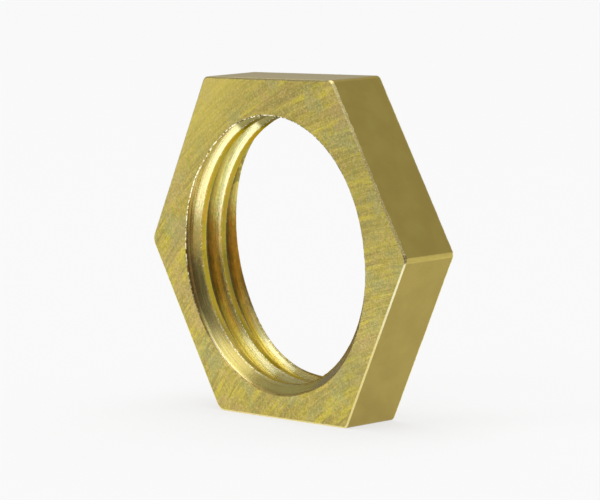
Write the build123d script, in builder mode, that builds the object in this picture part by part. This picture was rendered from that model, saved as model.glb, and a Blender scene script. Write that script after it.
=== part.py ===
from build123d import *
from math import radians, tan
import os

# Lock nut for G 1/2 pipe thread, cut from hexagonal brass bar.
# It stands on one flat: the thread's axis runs along Y, two corners point along X,
# and the origin is on the axis, halfway through the thickness.

# G 1/2 thread: 14 turns to the inch, 55 degrees between the flanks, right-handed
thread_diameter = 20.955
thread_pitch = 25.4 / 14
flank_angle = 55.0
# depth the tap leaves, as a share of the pitch: a full thread of this form has 0.64
depth_share = 0.4975
# angle from +X towards +Z at which the middle of the groove runs out through the front face
groove_angle = 242.0

# slice of bar
wall_at_flats = 1.5225
thickness = 4.5
corner_radius = 0.45
edge_break = 0.15

across_flats = thread_diameter + 2 * wall_at_flats
front_y = -thickness / 2
back_y = thickness / 2

# tap: a V with its point cut flat at a sixth of its height, where the standard rounds it.
# It reaches in past the bore, so that its wide end cuts only air.
root_radius = thread_diameter / 2
bore_radius = root_radius - depth_share * thread_pitch
tap_inner_radius = bore_radius - thread_pitch / 6
half_root_flat = thread_pitch / 12
half_tap_mouth = half_root_flat + (root_radius - tap_inner_radius) * tan(radians(flank_angle / 2))

# the helix starts over the top of the bore, between one and two turns in front of the face
helix_start_angle = 90.0
turns_in_front = 2 - (groove_angle - helix_start_angle) / 360
tap_y = front_y - turns_in_front * thread_pitch
tap_run = back_y + thread_pitch - tap_y

with BuildLine() as tap_path:
    Helix(
        pitch=thread_pitch,
        height=tap_run,
        radius=root_radius,
        center=(0, tap_y, 0),
        direction=(0, 1, 0),
    )

with BuildPart() as lock_nut:
    # slice of bar with its drawn corners, deburred round both faces
    with BuildSketch(Plane.XZ) as bar_section:
        RegularPolygon(radius=across_flats / 2, side_count=6, major_radius=False)
        fillet(bar_section.vertices(), radius=corner_radius)
    extrude(amount=thickness / 2, both=True)
    chamfer(lock_nut.faces().filter_by(Axis.Y).edges(), length=edge_break)

    # thread groove, its section drawn in the plane of the axis: radius across, depth along
    with BuildSketch(Plane.ZY) as groove_section:
        Polygon(
            (tap_inner_radius, tap_y - half_tap_mouth),
            (root_radius, tap_y - half_root_flat),
            (root_radius, tap_y + half_root_flat),
            (tap_inner_radius, tap_y + half_tap_mouth),
            align=None,
        )
    sweep(path=tap_path.line, is_frenet=True, mode=Mode.SUBTRACT)

    # bore at the tapping size, which trims the crests to their flat lands
    with BuildSketch(Plane.XZ):
        Circle(bore_radius)
    extrude(amount=thickness, both=True, mode=Mode.SUBTRACT)

lock_nut.part.label = "lock_nut"

os.makedirs("parts", exist_ok=True)
export_step(lock_nut.part, "parts/lock_nut.step")
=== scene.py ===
from math import atan2, cos, pi, radians, sin, tan

import bmesh
import bpy
from mathutils import Matrix, Vector, noise


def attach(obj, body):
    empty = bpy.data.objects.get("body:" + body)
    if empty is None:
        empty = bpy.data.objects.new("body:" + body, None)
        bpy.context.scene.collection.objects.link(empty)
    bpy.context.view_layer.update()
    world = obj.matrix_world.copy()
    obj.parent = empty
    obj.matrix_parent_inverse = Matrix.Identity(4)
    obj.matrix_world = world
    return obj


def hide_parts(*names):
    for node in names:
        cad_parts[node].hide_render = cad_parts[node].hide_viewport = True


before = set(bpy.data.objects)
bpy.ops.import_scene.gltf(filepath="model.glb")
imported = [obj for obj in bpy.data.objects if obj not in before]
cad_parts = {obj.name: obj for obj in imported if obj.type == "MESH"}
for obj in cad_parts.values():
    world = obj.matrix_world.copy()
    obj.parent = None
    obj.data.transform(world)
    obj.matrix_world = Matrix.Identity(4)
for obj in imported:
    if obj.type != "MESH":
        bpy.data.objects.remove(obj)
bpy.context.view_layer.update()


# Thread wall. The nut's working part: one right-hand groove that a pipe tap cut round the bored
# hole, with a rounded root, flat lands left between its turns and a little torn metal along them.
# Sizes are in millimetres, and angles run from +X towards +Z.
mm = 0.001
half_thickness = 2.25
pitch = 25.4 / 14
half_flank = radians(27.5)
root_radius = 20.955 / 2
root_rounding = 0.1373 * pitch
tap_depth = 0.4975 * pitch
raised = 0.098  # how far the tap has raised the lands
land_radius = root_radius - tap_depth - raised
land_edge = 0.022  # half the width of the break along a land
flank_bulge = 0.02  # at the middle of each flank
groove_angle = radians(242)  # where the groove's middle runs out through the front face
mouth = pitch / 12 + (root_radius - land_radius) * tan(half_flank)  # half its width at the lands
first_turn, past_last_turn = -1, 4  # the wall is made longer than the nut and then trimmed
rim_break = 0.04  # how far short of the faces it is trimmed, which leaves room for the rims
trim_tolerance = 0.001

# the bore was drilled a hair off the bar's middle; the tap's cut starts shallow at the front face,
# but full and a little eased at the lower right
bore_x, bore_z = 0.15, -0.065
shallow_start, shallow_run = 0.18, 1.2
full_from, full_to, full_fade, full_easing = radians(285), radians(360), radians(22), 2.1

# the back mouth has been eased in two places: the middle of each, how far it goes there, and how
# narrow it is
eased_run = 0.45
eased_places = [(radians(232), 0.34, 9), (radians(150), 0.13, 30)]

# facing the slice rolled a burr over the beginning of the groove, at the upper left
burr_share, burr_run, burr_start, burr_end = 0.65, 0.3, radians(138), radians(152)

# metal torn up along the lands' edges: how uneven it is, how much higher its peaks stand and from
# which unevenness on, and its waves to the millimetre
torn_height, torn_peak, peak_from, torn_waves = 0.014, 0.02, 0.25, 2.6

# outline of the bar: its corners' places and how far each has been rounded. The corner that faces
# right is worn to a narrow facet, so it counts as two.
flat_distance = 12.0
corner_distance = flat_distance / cos(radians(30))
half_worn = 0.17
worn_corner = corner_distance - half_worn * tan(radians(30))
corners = [
    (worn_corner, -half_worn, 0.1),
    (worn_corner, half_worn, 0.1),
    *[
        (corner_distance * cos(radians(a)), corner_distance * sin(radians(a)), rounding)
        for a, rounding in ((60, 0.4), (120, 0.6), (180, 0.7), (240, 0.9), (300, 0.4))
    ],
]
column_step = 0.09  # between points of the outline on a flat
columns_per_turn = 48  # on a rounded corner


def rounded_outline():
    """Points round the bar with their outward normals, from +X through +Z."""
    tangents = []
    for i, (x, z, rounding) in enumerate(corners):
        here = Vector((x, z))
        before = Vector(corners[i - 1][:2])
        after = Vector(corners[(i + 1) % len(corners)][:2])
        arriving = (here - before).normalized()
        leaving = (after - here).normalized()
        turn = arriving.angle(leaving)
        reach = rounding * tan(turn / 2)
        inward = Vector((-arriving.y, arriving.x))
        start, end = here - arriving * reach, here + leaving * reach
        tangents.append((start, end, start + inward * rounding, arriving, turn, rounding))
    columns = []
    for i, (start, end, centre, arriving, turn, rounding) in enumerate(tangents):
        first = Vector((arriving.y, -arriving.x))
        steps = max(3, round(turn * columns_per_turn / (2 * pi)))
        for k in range(steps + 1):
            a = turn * k / steps
            across = first.x * cos(a) - first.y * sin(a)
            upward = first.x * sin(a) + first.y * cos(a)
            normal = Vector((across, upward))
            columns.append((centre + normal * rounding, normal))
        ahead = tangents[(i + 1) % len(tangents)][0]
        count = max(1, round((ahead - end).length / column_step))
        for k in range(1, count):
            columns.append((end.lerp(ahead, k / count), columns[-1][1]))
    columns.sort(key=lambda c: atan2(c[0].y, c[0].x) % (2 * pi))
    return columns


columns = rounded_outline()
angles = [atan2(p.y, p.x) % (2 * pi) for p, n in columns]


def tap_section():
    """One pitch of the wall, from the middle of a land: depth from the groove's middle, radius."""
    rounding_centre = root_radius - root_rounding
    half = [
        (-pitch / 2, land_radius),
        (-(pitch / 2 + mouth) / 2, land_radius),
        (-(mouth + land_edge), land_radius),
        (-(mouth - land_edge), land_radius + land_edge / tan(half_flank)),
    ]
    top = half[-1]
    foot_depth = -root_rounding * cos(half_flank)
    foot = (foot_depth, rounding_centre + root_rounding * sin(half_flank))
    for share in (0.2, 0.4, 0.6, 0.8, 1.0):
        bulge = 4 * flank_bulge * share * (1 - share)
        d, r = (top[n] + (foot[n] - top[n]) * share for n in (0, 1))
        half.append((d + bulge * cos(half_flank), r - bulge * sin(half_flank)))
    for k in range(1, 4):
        a = half_flank + (pi / 2 - half_flank) * k / 3
        half.append((-root_rounding * cos(a), rounding_centre + root_rounding * sin(a)))
    return half + [(-d, r) for d, r in reversed(half[1:-1])]


section = tap_section()
land_corners = (2, 3, len(section) - 2, len(section) - 1)


def held(value):
    """A value held between 0 and 1."""
    return min(1.0, max(0.0, value))


def as_cut(radius, angle, depth):
    """A radius of the full thread as it came out at an angle and a depth in the nut."""
    from_front, from_back = depth + half_thickness, half_thickness - depth
    full = min(held((angle - full_from) / full_fade), held((full_to - angle) / full_fade))
    start = held(1 - from_front / shallow_run) * (1 - full_easing * full)
    rolled = burr_share * held(1 - from_front / burr_run)
    rolled *= held((burr_end - angle) / (burr_end - burr_start))
    eased = 0.0
    for middle, far, narrow in eased_places:
        eased += held(1 - from_back / eased_run) * far * max(0.0, cos(angle - middle)) ** narrow
    return land_radius + (radius - land_radius) * (1 - shallow_start * start) * (1 - rolled) + eased


def groove_middle(angle):
    """Depth of the middle of the groove's first turn at an angle."""
    return -half_thickness + (groove_angle - angle) / (2 * pi) * pitch


def wall_radius(angle, depth):
    """Radius of the cut wall at an angle and a depth."""
    along = (depth - groove_middle(angle) + pitch / 2) % pitch - pitch / 2
    for (d0, r0), (d1, r1) in zip(section, section[1:] + [(pitch / 2, land_radius)]):
        if d0 <= along <= d1:
            return as_cut(r0 + (r1 - r0) * (along - d0) / (d1 - d0), angle, depth)
    return as_cut(land_radius, angle, depth)


def rough(x, y, z, per_mm, seed=0.0):
    """Smooth unevenness between about -1 and 1, at so many waves to the millimetre."""
    return noise.noise(Vector((x, y, z)) * per_mm + Vector((seed, -seed, seed)))


metal = bmesh.new()
rows = []
for turn in range(first_turn, past_last_turn):
    for index, (along, radius) in enumerate(section):
        row = []
        for angle in angles:
            y = groove_middle(angle) + along + turn * pitch
            r = as_cut(radius, angle, y)
            if index in land_corners:
                torn = rough(cos(angle) * radius, y, sin(angle) * radius, torn_waves)
                r += torn_height * torn + torn_peak * max(0.0, torn - peak_from)
            row.append(metal.verts.new((bore_x + r * cos(angle), y, bore_z + r * sin(angle))))
        rows.append(row)

# the end of each row, a full turn round, joins the beginning of the row one pitch before
cut_wall, ground_face, drawn_flat, broken_edge, worn_facet = range(5)
per_turn = len(section)
for i in range(len(rows) - 1):
    for j in range(len(angles) - 1):
        metal.faces.new((rows[i][j], rows[i][j + 1], rows[i + 1][j + 1], rows[i + 1][j]))
    if i >= per_turn:
        k = i - per_turn
        metal.faces.new((rows[i][-1], rows[k][0], rows[k + 1][0], rows[i + 1][-1]))
for side in (-1, 1):
    bmesh.ops.bisect_plane(
        metal,
        geom=metal.verts[:] + metal.edges[:] + metal.faces[:],
        dist=trim_tolerance,
        plane_co=(0, side * (half_thickness - rim_break), 0),
        plane_no=(0, side, 0),
        clear_outer=True,
    )
for face in metal.faces:
    face.material_index = cut_wall


# Faces and flats. The slice was parted from drawn hexagon bar, so its flats are smooth and its two
# faces are ground; the rims and outer edges were only brushed over, and stay a little ragged.
rim_width = {-1: 0.045, 1: 0.02}  # at the front face and at the back
rim_sink, rim_wander = 0.03, 0.012
rim_coarse, rim_fine = 3.2, 7.0  # unevenness of the rims, in waves to the millimetre
nick_coarse, nick_fine = 0.8, 4.5  # the same for the outer edges
collar = 0.3  # band round the rim in which its points are joined to as many as the outline has
near_share = 0.99  # where the last ring of the face lies, as a share of the way to the edge
bend = 0.29  # how far in the middle line of a broken edge lies, as a share of the break
flat_rows = (-1.95, -1.2, 0.0, 1.2, 1.95)
facet_margin = 0.012  # how far short of the worn corner a face may lie and still count as worn
sharp_from = radians(28)

# for each flat from the one facing up and right: how much of its front edge is gone on the face and
# on the flat, and how ragged that edge is
front_breaks = [
    (0.04, 0.24, 0.35),
    (0.12, 0.12, 0.35),
    (0.13, 0.13, 0.1),
    (0.13, 0.13, 0.1),
    (0.13, 0.13, 0.1),
    (0.05, 0.16, 0.1),
]
back_breaks = [(0.13, 0.13, 0.2)] * 6


def angle_of(vert):
    """A corner's angle round the bore, from just short of +X."""
    return (atan2(vert.co.z - bore_z, vert.co.x - bore_x) + 1e-4) % (2 * pi)


def open_rim(side):
    """The wall's cut end at one face, in order of angle."""
    return sorted((v for v in metal.verts if v.is_boundary and v.co.y * side > 0), key=angle_of)


def stitch(loop, ring, finish):
    """Joins two closed loops of different counts with triangles."""
    a, b = 0, 0
    while a < len(loop) or b < len(ring):
        here, there = loop[a % len(loop)], ring[b % len(ring)]
        next_a = angle_of(loop[a + 1]) if a + 1 < len(loop) else 2 * pi + angle_of(loop[0])
        next_b = angle_of(ring[b + 1]) if b + 1 < len(ring) else 2 * pi + angle_of(ring[0])
        if b >= len(ring) or (a < len(loop) and next_a <= next_b):
            triangle = (here, loop[(a + 1) % len(loop)], there)
            a += 1
        else:
            triangle = (here, ring[(b + 1) % len(ring)], there)
            b += 1
        metal.faces.new(triangle).material_index = finish


def band(first, second, finish):
    """Joins two closed rings of the same count with four-sided faces."""
    for j in range(len(first)):
        k = (j + 1) % len(first)
        face = metal.faces.new((first[j], first[k], second[k], second[j]))
        face.material_index = finish


def edge_break(j, side):
    """How far the outer edge is gone on the face and on the flat at a column, with its nicks."""
    (x, z), normal = columns[j]
    breaks = front_breaks if side < 0 else back_breaks
    place = (atan2(normal.y, normal.x) / radians(60) - 0.5) % 6
    here, ahead = breaks[int(place)], breaks[(int(place) + 1) % 6]
    on_face, on_flat, ragged = (a + (b - a) * (place % 1) for a, b in zip(here, ahead))
    coarse = rough(x, side * 5, z, nick_coarse)
    uneven = coarse * 0.6 + rough(x, side * 9, z, nick_fine, seed=3.0) * 0.9
    return on_face * (1 + ragged * uneven), on_flat * (1 + ragged * uneven)


outer_rings = {}
for side in (-1, 1):
    face_y = side * half_thickness
    loop = open_rim(side)
    rim = []
    for vert in loop:
        x, y, z = vert.co
        uneven = rough(x, y, z, rim_coarse, seed=7.0)
        finer = rough(x, y, z, rim_fine, seed=2.0)
        outward = Vector((x - bore_x, 0, z - bore_z)).normalized()
        width = rim_width[side] * (1.0 + 0.6 * uneven + 0.6 * finer)
        rim.append(metal.verts.new((x + outward.x * width, face_y, z + outward.z * width)))
        vert.co += outward * -rim_sink
        vert.co.y += side * rim_wander * uneven
    band(loop, rim, broken_edge)

    inner = []
    for angle in angles:
        r = wall_radius(angle, side * (half_thickness - rim_break)) + collar
        inner.append(metal.verts.new((bore_x + r * cos(angle), face_y, bore_z + r * sin(angle))))
    stitch(rim, inner, ground_face)

    break_face, break_middle, break_flat = [], [], []
    for j, (p, n) in enumerate(columns):
        on_face, on_flat = edge_break(j, side)
        for ring, inset, drop in (
            (break_face, on_face, 0.0),
            (break_middle, on_face * bend, on_flat * bend),
            (break_flat, 0.0, on_flat),
        ):
            q = p * (1 - inset / flat_distance)
            ring.append(metal.verts.new((q.x, side * (half_thickness - drop), q.y)))
    near_edge = []
    for vert in break_face:
        x, z = vert.co.x * near_share, vert.co.z * near_share
        near_edge.append(metal.verts.new((x, face_y, z)))
    band(inner, near_edge, ground_face)
    band(near_edge, break_face, ground_face)
    band(break_face, break_middle, broken_edge)
    band(break_middle, break_flat, broken_edge)
    outer_rings[side] = break_flat

previous = outer_rings[-1]
for depth in flat_rows:
    ring = [metal.verts.new((p.x, depth, p.y)) for p, n in columns]
    band(previous, ring, drawn_flat)
    previous = ring
band(previous, outer_rings[1], drawn_flat)
for face in metal.faces:
    at_facet = face.calc_center_median().x > worn_corner - facet_margin
    if face.material_index == drawn_flat and at_facet:
        face.material_index = worn_facet

bmesh.ops.recalc_face_normals(metal, faces=metal.faces)
for face in metal.faces:
    face.smooth = True
for edge in metal.edges:
    joined = edge.link_faces
    if len(joined) == 2:
        same = joined[0].material_index == joined[1].material_index
        edge.smooth = same and edge.calc_face_angle() < sharp_from
for vert in metal.verts:
    vert.co *= mm

shape = bpy.data.meshes.new("nut")
metal.to_mesh(shape)
metal.free()
nut = bpy.data.objects.new("nut", shape)
bpy.context.collection.objects.link(nut)


class Wire:
    """One output socket of a material's nodes, joined to numbers and others by Python's signs."""

    def __init__(self, tree, socket=None):
        self.tree = tree
        self.socket = socket

    def node(self, kind, settings=None, inputs=None, output=0):
        """Any node: its type, its settings, then the values or wires of its sockets."""
        made = self.tree.nodes.new(kind)
        for name, value in (settings or {}).items():
            setattr(made, name, value)
        for name, value in (inputs or {}).items():
            if isinstance(value, Wire):
                self.tree.links.new(value.socket, made.inputs[name])
            else:
                made.inputs[name].default_value = value
        return Wire(self.tree, made.outputs[output])

    def maths(self, operation, *others):
        """A Math node that starts with this wire."""
        values = dict(enumerate((self, *others)))
        return self.node("ShaderNodeMath", {"operation": operation}, values)

    def __add__(self, other):
        return self.maths("ADD", other)

    __radd__ = __add__

    def __sub__(self, other):
        return self.maths("SUBTRACT", other)

    def __rsub__(self, other):
        return self.node("ShaderNodeMath", {"operation": "SUBTRACT"}, {0: other, 1: self})

    def __mul__(self, other):
        return self.maths("MULTIPLY", other)

    __rmul__ = __mul__

    def between(self, low, high):
        """0 at low, 1 at high and a smooth rise from one to the other."""
        settings = {"interpolation_type": "SMOOTHSTEP"}
        return self.node("ShaderNodeMapRange", settings, {0: self, 1: low, 2: high})

    def within(self, start, full, fading, gone):
        """0 up to start, 1 from full to fading, and 0 again from gone on."""
        return self.between(start, full) * (1 - self.between(fading, gone))

    def tint(self, first, second):
        """A colour part of the way from the first to the second."""
        first, second = [c if isinstance(c, Wire) else (*c, 1) for c in (first, second)]
        settings = {"data_type": "RGBA"}
        return self.node("ShaderNodeMix", settings, {0: self, 6: first, 7: second}, 2)


def new_metal(name):
    """Adds a bare metal finish to the nut; gives its surface and its place in millimetres."""
    material = bpy.data.materials.new(name)
    shape.materials.append(material)
    material.use_nodes = True
    tree = material.node_tree
    surface = tree.nodes["Principled BSDF"]
    surface.inputs["Metallic"].default_value = 1.0
    start = Wire(tree)
    place = start.node("ShaderNodeTexCoord", output=3)
    place = start.node("ShaderNodeVectorMath", {"operation": "SCALE"}, {0: place, "Scale": 1 / mm})
    parts = place.node("ShaderNodeSeparateXYZ", inputs={0: place})
    outputs = parts.socket.node.outputs
    x, y, z = (Wire(tree, outputs[i]) for i in range(3))
    return surface, place, x, y, z


def speckle(place, scale, detail=2.0, roughness=0.5):
    """Even-grained noise over a place."""
    inputs = {"Vector": place, "Scale": scale, "Detail": detail, "Roughness": roughness}
    return place.node("ShaderNodeTexNoise", {"noise_dimensions": "3D"}, inputs)


def vector(x, y, z):
    """A place made of three wires or numbers."""
    wire = next(w for w in (x, y, z) if isinstance(w, Wire))
    return wire.node("ShaderNodeCombineXYZ", inputs={0: x, 1: y, 2: z})


def layered(tone, layers):
    """A colour with others laid over it in turn, each over its own share of the surface."""
    for share, colour in layers:
        tone = share.tint(tone, colour)
    return tone


def finish_with(surface, colour, roughness, height, distance, strength):
    """Puts a colour, a roughness and a height in metres on a surface."""
    tree = colour.tree
    inputs = {"Strength": strength, "Distance": distance, "Height": height}
    bump = height.node("ShaderNodeBump", inputs=inputs)
    tree.links.new(colour.socket, surface.inputs["Base Color"])
    tree.links.new(roughness.socket, surface.inputs["Roughness"])
    tree.links.new(bump.socket, surface.inputs["Normal"])


# cut wall: bright brass with the tap's fine lines along the helix, duller lands, and cutting oil
# dried brown in the foot of the groove and over the left side of the bore, with painted highlights
# on the flanks and painted shade in the foot of the groove, on the first turn and at the top
surface, place, x, y, z = new_metal("cut_wall")
x, z = x - bore_x, z - bore_z
around = z.maths("ARCTAN2", x)

# places on the helix: how far along the axis from the groove's middle, with a sign and without
phase = y * (2 * pi / pitch) + around
ring_x = phase.maths("COSINE")
ring_y = phase.maths("SINE")
turned = phase - (groove_angle - half_thickness * 2 * pi / pitch)
behind = turned.maths("SINE").maths("ARCTAN2", turned.maths("COSINE")) * (pitch / (2 * pi))
across = behind.maths("ABSOLUTE")
land = across.between(mouth - 0.05, mouth)
edge = 1 - (across - mouth).maths("ABSOLUTE").between(0.02, 0.08)
# the foot of the groove and the lands' rear edges, where shade is painted
shaded_foot = behind.within(-0.3, -0.15, 0.12, 0.27)
rear_edge = behind.within(-0.73, -0.69, -0.6, -0.5)

# places along the axis and up and down the bore
lip = 1 - y.between(-2.2, -2.1)
later = y.between(-1.5, -0.9)
first = 1 - later
inner = y.between(-0.75, -0.2)
deep = y.between(0.9, 1.4)
high = z.between(-4.0, 0.0)
low = 1 - z.between(-6.0, -4.0)
lowest = 1 - z.between(-7.2, -6.2)
side = z.within(-6.0, -4.5, 2.0, 4.5)
# the upper side of the bore, its top painted dark as shade, and its lower right painted as a
# reflection
above = around.between(-0.5, 0.5)
top = above * (1 - around.between(2.06, 2.12))
under = (1 - above) * around.between(-1.925, -1.895)


def thread_noise(fineness, run, detail=2.0, roughness=0.5):
    """Noise drawn out along the helix."""
    return speckle(vector(ring_x * fineness, ring_y * fineness, run), 1.0, detail, roughness)


lines = thread_noise(9.0, x * 0.18, 3.0, 0.65)
trails = thread_noise(4.2, around * 1.3, 2.0, 0.6)
streaks = thread_noise(3.0, z * 0.5)
blotch = thread_noise(1.6, z * 0.8 + 4.0, 3.0, 0.65)
mottle = thread_noise(3.6, z * 1.5, 3.0, 0.7)
stain = speckle(place, 0.35, 2.0)
torn = speckle(place, 1.1, 2.0, 0.6)
dots = speckle(place, 5.0, 2.0, 0.7)
grain = speckle(place, 9.0, 2.0)
burr = speckle(place, 13.0, 1.0)
from_puddle = (z + 1.4) * (z + 1.4) * 0.09 + (x + 10.2) * (x + 10.2) * 0.3
oiled = 1 - (from_puddle + stain * 0.8 + across * 1.2).between(0.9, 2.3)

# bare metal with the tap's trails and lines, paler higher up as a painted highlight colour, and
# painted highlights on the middle of the later flanks
bare = high.tint((0.88, 0.78, 0.29), (0.91, 0.85, 0.43))
pale_trail = high.tint((0.98, 0.88, 0.46), (1.0, 0.97, 0.68))
tone = layered(bare, [
    (stain.between(0.5, 0.68) * 0.6, (0.84, 0.70, 0.26)),
    (streaks.between(0.42, 0.75) * 0.3, (0.50, 0.39, 0.09)),
    (trails.between(0.45, 0.62) * 0.3, (0.48, 0.34, 0.08)),
    ((1 - trails).between(0.5, 0.66) * 0.3, pale_trail),
    # painted highlights on the middle of the later flanks
    (later * across.between(0.3, 0.45) * 0.5, (1.0, 0.93, 0.44)),
    (later * z.between(0.5, 2.5) * across.between(0.3, 0.4) * 0.8, (1.0, 0.98, 0.55)),
    (first * lines.between(0.48, 0.64) * (low * 0.3 + 0.3), (0.48, 0.35, 0.10)),
    (lip * blotch.between(0.35, 0.55) * 0.5, (0.58, 0.30, 0.05)),
])

# dried oil, thin and orange in the later turns, worn through on the flanks, with dark and red
# blotches
tone = layered(tone, [
    (oiled * (1 - inner) * 0.75, (0.38, 0.265, 0.055)),
    (oiled * inner * 0.75, (0.58, 0.38, 0.10)),
    (oiled * deep * 0.3, (0.86, 0.60, 0.22)),
    (oiled * inner * across.between(0.36, 0.5) * 0.7, (0.92, 0.63, 0.17)),
    (oiled * (1 - inner) * across.between(0.3, 0.45) * 0.6, (0.82, 0.75, 0.25)),
    (oiled * blotch.between(0.5, 0.6) * 0.55, (0.27, 0.24, 0.07)),
    (oiled * (1 - blotch).between(0.52, 0.62) * 0.5, (0.62, 0.33, 0.05)),
])

# lands: duller, mottled brown and green, yellower on the middle turn and dark on the inner one
middle_land = land * (1 - y.between(0.3, 0.8)) * z.within(-6.4, -5.4, -2.0, 1.0)
low_rear = behind.between(0.5, 0.62) * low * (1 - under)
tone = layered(tone, [
    (land, (0.55, 0.42, 0.025)),
    (land * blotch.between(0.45, 0.58) * 0.7, (0.60, 0.34, 0.035)),
    (land * (1 - blotch).between(0.5, 0.6) * 0.6, (0.36, 0.34, 0.06)),
    (middle_land * 0.5, (0.84, 0.66, 0.05)),
    (land * side * y.between(0.3, 0.8) * 0.4, (0.24, 0.20, 0.03)),
    (low_rear * (later * 0.35 + 0.4), (0.36, 0.28, 0.02)),
])

# flanks and foot of the groove: painted highlights low down on the middle of the later flanks, red
# and green tarnish at the side, and painted shade, brown and black, in the foot of the later turns
# and dark along the lands' rear edges
middle_flank = later * across.within(0.28, 0.4, 0.58, 0.66)
open_side = side * (1 - land)
foot = later * behind.within(0.0, 0.1, 0.24, 0.38) * (1 - side)
tone = layered(tone, [
    (middle_flank * z.within(-6.8, -5.8, -2.5, 0.5) * 0.5, (1.0, 0.68, 0.17)),
    (middle_flank * (1 - z.between(-7.4, -6.4)) * 0.5, (1.0, 0.95, 0.58)),
    (open_side * mottle.between(0.5, 0.6) * 0.5, (0.58, 0.30, 0.12)),
    (open_side * (1 - mottle).between(0.5, 0.6) * 0.4, (0.22, 0.25, 0.10)),
    (foot * (high * 0.25 + 0.25), (0.42, 0.26, 0.03)),
    (shaded_foot * later * (side * 0.35 + 0.6), (0.05, 0.05, 0.016)),
    (rear_edge * 0.8, (0.10, 0.09, 0.02)),
])

# first turn: a brown stain half way up; painted shade, darker just below it, in a dark cleft beside
# it and brown in the foot higher up; and a painted highlight along the root low down
root = 1 - across.between(0.06, 0.18)
stained = first * z.within(0.0, 1.5, 3.0, 5.0) * (1 - across.between(0.12, 0.26) * 0.9)
shaded_cleft = first * side * behind.within(-0.02, 0.05, 0.2, 0.3)
tone = layered(tone, [
    (stained * 0.5, (0.52, 0.41, 0.04)),
    (first * z.within(-1.5, 0.0, 1.0, 2.8) * 0.6, (0.28, 0.21, 0.03)),
    (shaded_cleft * 0.85, (0.16, 0.10, 0.03)),
    (shaded_foot * first * z.between(0.5, 2.5) * 0.65, (0.62, 0.43, 0.06)),
    (first * lowest * root * 0.8, (1.0, 0.98, 0.74)),
    (first * z.between(3.0, 4.2) * root * 0.45, (0.58, 0.48, 0.10)),
    (first * lowest * across.between(0.16, 0.28) * (1 - under) * 0.35, (0.60, 0.50, 0.12)),
    (oiled * (1 - across.between(0.3, 0.46)) * 0.15, (0.40, 0.22, 0.07)),
    (first * low * across.between(0.3, 0.5) * 0.3, (0.60, 0.46, 0.16)),
])

# over it all: red and green specks, painted shade that turns the top of the bore dark olive, and a
# painted reflection on the lower right side, yellower, with orange blotches, that begins with a
# painted dark line and holds a painted highlight band
tone = layered(tone, [
    (dots.between(0.52, 0.68) * 0.3, (0.72, 0.42, 0.24)),
    ((1 - dots).between(0.52, 0.68) * 0.3, (0.36, 0.42, 0.12)),
    (top * 0.92, (0.20, 0.17, 0.045)),
    (under * 0.5, (0.95, 0.80, 0.24)),
    (under * (1 - around.between(-1.88, -1.77)) * 0.35, (0.45, 0.37, 0.10)),
    (under * around.between(-1.75, -1.5) * 0.5, (1.0, 0.92, 0.34)),
    (under * blotch.between(0.5, 0.62) * 0.3, (0.60, 0.38, 0.10)),
    (grain.between(0.45, 0.75) * 0.18, (0.30, 0.24, 0.06)),
])

# edges: painted glints on the torn metal along the lands, dark nicks in the lip, a painted grey
# reflection on the lip at the lower right and black tears at the back
torn_back = y.between(1.5, 1.75) * z.within(2.5, 3.5, 5.6, 6.6)
lower_lip = (1 - above) * around.between(-1.3, -1.05) * (1 - y.between(-2.05, -1.85))
tone = layered(tone, [
    (edge * (burr + low * 0.09).between(0.61, 0.67) * 0.85, (1.0, 0.97, 0.75)),
    (lip * (1 - burr).between(0.45, 0.6) * 0.4, (0.22, 0.12, 0.04)),
    (lower_lip * 0.8, (0.60, 0.54, 0.40)),
    (torn_back * torn.between(0.5, 0.55) * 0.5, (0.10, 0.09, 0.03)),
])
surface.inputs["Specular Tint"].default_value = (0.5, 0.42, 0.24, 1)
dullness = lines * 0.12 + 0.13 + shaded_foot * 0.1
finish_with(surface, tone, dullness, lines + grain * 0.25, 0.02 * mm, 0.55)

# ground faces: long shallow arcs of grit, with yellow, pinkish and grey-green tarnish between them
arc_middle_x, arc_middle_z, arc_radius = 18.0, -32.0, 36.0
surface, place, x, y, z = new_metal("ground_face")
arc_x, arc_z = x - arc_middle_x, z - arc_middle_z
sweep = (arc_x * arc_x + arc_z * arc_z).maths("SQRT")
along_arc = arc_z.maths("ARCTAN2", arc_x) * arc_radius


def grit_noise(fine_across, fine_along, offset, detail=2.0, roughness=0.5):
    """Noise drawn out along the grinding arcs."""
    spot = vector(sweep * fine_across, along_arc * fine_along, y + offset)
    return speckle(spot, 1.0, detail, roughness)


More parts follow.
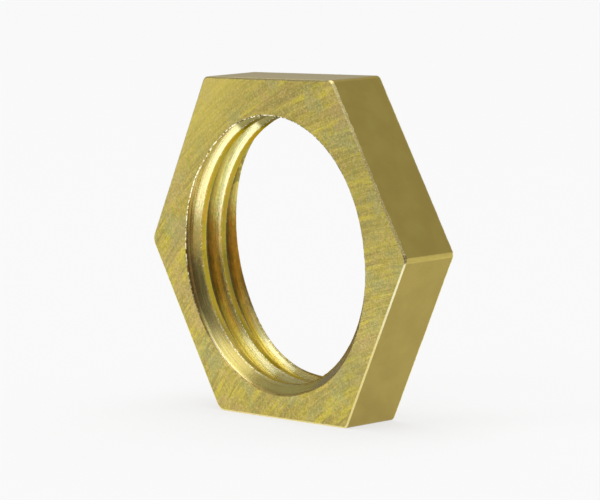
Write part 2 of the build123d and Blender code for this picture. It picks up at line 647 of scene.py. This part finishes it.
fine = grit_noise(14.0, 0.55, 0.0, 3.0, 0.6)
scratch = grit_noise(5.0, 0.28, 3.0, 3.0, 0.6)
brushed = grit_noise(2.4, 0.2, 15.0, 2.0, 0.55)
broad = grit_noise(0.95, 0.16, 8.0)
bloom = speckle(place, 0.42, 3.0, 0.6)
patch = speckle(vector(x * 0.32, y, z * 0.32 + 9.0), 1.0, 3.0, 0.6)
dots = speckle(place, 6.0, 2.0, 0.7)
flecks = speckle(vector(x + 40.0, y, z), 6.5, 2.0, 0.7)
from_smudge = (x - 7.0) * (x - 7.0) + (z + 7.4) * (z + 7.4)
tone = layered(scratch.between(0.32, 0.66).tint((0.42, 0.33, 0.075), (0.64, 0.52, 0.10)), [
    (broad.between(0.45, 0.62) * 0.45, (0.68, 0.55, 0.06)),
    (brushed.between(0.54, 0.66) * 0.7, (0.80, 0.67, 0.06)),
    ((1 - brushed).between(0.54, 0.66) * 0.4, (0.36, 0.31, 0.10)),
    (bloom.between(0.5, 0.64) * 0.5, (0.43, 0.44, 0.18)),
    (patch.between(0.5, 0.64) * 0.45, (0.64, 0.44, 0.19)),
    (dots.between(0.5, 0.68) * 0.42, (0.85, 0.58, 0.26)),
    ((1 - dots).between(0.5, 0.68) * 0.4, (0.33, 0.38, 0.12)),
    (flecks.between(0.52, 0.7) * 0.38, (0.88, 0.78, 0.34)),
    ((1 - flecks).between(0.52, 0.7) * 0.4, (0.28, 0.20, 0.055)),
    ((z * 0.8 - x * 0.6).between(8.0, 12.5) * 0.5, (0.88, 0.73, 0.16)),
    (x.between(5.0, 11.0) * 0.25, (0.28, 0.25, 0.10)),
    ((1 - from_smudge.between(1.0, 9.0)) * 0.3, (0.20, 0.21, 0.10)),
])
height = fine + scratch * 0.8 + dots * 0.4
finish_with(surface, tone, fine * 0.2 + 0.22, height, 0.02 * mm, 0.5)

# drawn flats: satin, slightly darker, with faint marks of the die along the bar
surface, place, x, y, z = new_metal("drawn_flat")
die = speckle(vector(x * 6.0, y * 0.25, z * 6.0), 1.0, 3.0, 0.6)
cloud = speckle(place, 0.5, 3.0, 0.55)
grit = speckle(place, 11.0, 2.0)
tone = layered(cloud.between(0.35, 0.7).tint((0.42, 0.32, 0.08), (0.455, 0.355, 0.09)), [
    (grit.between(0.45, 0.7) * 0.12, (0.37, 0.31, 0.07)),
])
finish_with(surface, tone, grit * 0.08 + 0.33, die + grit * 0.5, 0.006 * mm, 0.35)

# broken edges: burnished by the brush and painted near-white as a highlight on the lower outer
# edges; dirty and ragged on the rims and the upper outer edges, with dark specks left in the nicks,
# painted glints all along them and round most of the rim, and one dark notch at the front of the
# right-hand corner that is painted shade
surface, place, x, y, z = new_metal("broken_edge")
nicks = speckle(place, 3.6, 2.0, 0.6)
fleck = speckle(place, 14.0, 2.0, 0.6)
beads = speckle(place, 4.5, 1.0)
rim = 1 - (x * x + z * z).between(116.0, 120.0)  # all that lies within 10.8 mm of the axis
outer = 1 - rim
ragged = rim.maths("MAXIMUM", z.between(-1.0, 1.0))
dirty = ragged * 0.2 + rim * (z.between(-3.0, 0.0) * 0.3 + 0.4) + 0.1
# a notch at the front of the right-hand corner, painted dark as shade
notch = x.between(13.25, 13.4) * (1 - y.between(-2.0, -1.9))
notch = notch * (1 - (z - 0.12).maths("ABSOLUTE").between(0.2, 0.36))
tone = layered(ragged.tint((1.0, 0.94, 0.58), rim.tint((0.80, 0.67, 0.28), (0.50, 0.37, 0.12))), [
    (outer * (1 - z.between(-7.0, -2.5)) * 0.7, (0.90, 0.72, 0.18)),
    (outer * z.between(0.0, 0.6) * x.between(8.0, 10.5) * 0.7, (0.42, 0.32, 0.10)),
    (nicks.between(0.5, 0.6) * dirty, (0.22, 0.14, 0.05)),
    (notch * 0.85, (0.13, 0.085, 0.03)),
    (rim * nicks.between(0.47, 0.54) * z.between(-5.0, -2.0) * 0.85, (0.12, 0.075, 0.02)),
    (fleck.between(0.56, 0.62) * 0.7, (1.0, 0.95, 0.60)),
    (rim * z.between(4.0, 6.0) * x.between(-4.6, -3.4) * 0.9, (0.13, 0.10, 0.03)),
    (rim * beads.between(0.48, 0.54) * z.between(-5.6, -4.8) * 0.9, (1.0, 0.95, 0.66)),
    (rim * (1 - z.between(-7.0, -6.4)) * 0.6, (0.90, 0.62, 0.18)),
])
finish_with(surface, tone, nicks * 0.2 + 0.2, nicks + fleck * 0.4, 0.03 * mm, 0.5)

# the drawn corner facing right, rubbed bright along its length
surface, place, x, y, z = new_metal("worn_corner")
rub = speckle(vector(x, y * 1.4, z * 6.0), 1.0, 3.0, 0.6)
tone = rub.between(0.35, 0.7).tint((0.55, 0.44, 0.115), (0.64, 0.51, 0.135))
finish_with(surface, tone, rub * 0.1 + 0.30, rub, 0.01 * mm, 0.4)

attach(nut, "root")
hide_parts("lock_nut")


# Table and light. The nut stands on one flat on a plain pale table, between a soft box at the
# left, a low one lying in front, and an even pale room. From here on sizes are in metres and the
# ways to things in degrees: azimuth 0 is in front of the bore and 90 to the right.
reach = 3.0
whiteness = 0.7  # share of plain white that the camera and the metal see in the table
table_top = bpy.data.meshes.new("table")
table_top.from_pydata(
    [(-reach, -reach, 0), (reach, -reach, 0), (reach, reach, 0), (-reach, reach, 0)],
    [],
    [(0, 1, 2, 3)],
)
table = bpy.data.objects.new("table", table_top)
table.location = (0, 0, -flat_distance * mm)
bpy.context.collection.objects.link(table)
paint = bpy.data.materials.new("pale_table")
paint.use_nodes = True
matt = paint.node_tree.nodes["Principled BSDF"]
matt.inputs["Base Color"].default_value = (0.9, 0.9, 0.9, 1)
matt.inputs["Roughness"].default_value = 0.9
matt.inputs["Specular IOR Level"].default_value = 0.0
start = Wire(paint.node_tree)
ray = start.node("ShaderNodeLightPath").socket.node.outputs
seen = Wire(paint.node_tree, ray["Is Camera Ray"]) + Wire(paint.node_tree, ray["Is Glossy Ray"])
plain = start.node("ShaderNodeEmission", inputs={"Color": (1, 1, 1, 1), "Strength": 1.0})
matt = Wire(paint.node_tree, matt.outputs["BSDF"])
both = start.node("ShaderNodeMixShader", inputs={0: seen * whiteness, 1: matt, 2: plain})
output = paint.node_tree.nodes["Material Output"]
paint.node_tree.links.new(both.socket, output.inputs["Surface"])
table_top.materials.append(paint)


def towards(azimuth, elevation):
    """The way out from the nut at an azimuth and an elevation in degrees."""
    a, e = radians(azimuth), radians(elevation)
    return Vector((sin(a) * cos(e), -cos(a) * cos(e), sin(e)))


# the room's pale walls, with a dim place at the left, a dark one in front and a bright ceiling: the
# way to each, how far from its middle it is full and where it ends, and its level
room = bpy.data.worlds.new("room")
room.use_nodes = True
bpy.context.scene.world = room
walls = Wire(room.node_tree)
direction = walls.node("ShaderNodeTexCoord", output=0)
shade = (0.6, 0.6, 0.6)
for azimuth, elevation, full, end, level in (
    (-66, 22, 16, 34, 0.28),
    (2, 11, 12, 28, 0.13),
    (0, 90, 18, 34, 2.2),
):
    middle = towards(azimuth, elevation)
    settings = {"operation": "DOT_PRODUCT"}
    facing = direction.node("ShaderNodeVectorMath", settings, {0: direction, 1: middle}, 1)
    share = facing.between(cos(radians(end)), cos(radians(full)))
    shade = share.tint(shade, (level, level, level))
background = room.node_tree.nodes["Background"]
room.node_tree.links.new(shade.socket, background.inputs["Color"])


def soft_box(name, azimuth, elevation, distance, size, power, aim=(0, 0, 0)):
    """A rectangular lamp that faces the nut or another place."""
    lamp = bpy.data.lights.new(name, "AREA")
    lamp.shape = "RECTANGLE"
    lamp.size, lamp.size_y = size
    lamp.energy = power
    holder = bpy.data.objects.new(name, lamp)
    back = towards(azimuth, elevation)
    holder.location = Vector(aim) + back * distance
    holder.rotation_mode = "QUATERNION"
    holder.rotation_quaternion = back.to_track_quat("Z", "Y")
    bpy.context.collection.objects.link(holder)


soft_box("left_box", -24.5, 40, 0.8, (0.33, 0.52), 0.43)
soft_box("low_box", 0, -90, 0.001, (0.034, 0.040), 0.0020, (-0.011, -0.036, -0.0108))


# Camera, a little above the table and well round to the right, tilted as the photographer held it.
# Its place was worked out from the photograph, so these figures are fitted and not round.
roll = radians(-2.50)
target = Vector((0.002843, -0.002194, 0.000143))
distance = 0.2405
back = towards(50.27, 6.43)
right = (-back).cross(Vector((0, 0, 1))).normalized()
up = right.cross(-back)
turned_right = right * cos(roll) + up * sin(roll)
turned_up = up * cos(roll) - right * sin(roll)
view = bpy.data.cameras.new("camera")
view.lens = 208.4
view.clip_start = 0.02
camera = bpy.data.objects.new("camera", view)
place_of = Matrix((turned_right, turned_up, back)).transposed().to_4x4()
place_of.translation = target + back * distance
camera.matrix_world = place_of
bpy.context.collection.objects.link(camera)
bpy.context.scene.camera = camera
bpy.context.scene.view_settings.view_transform = "Standard"
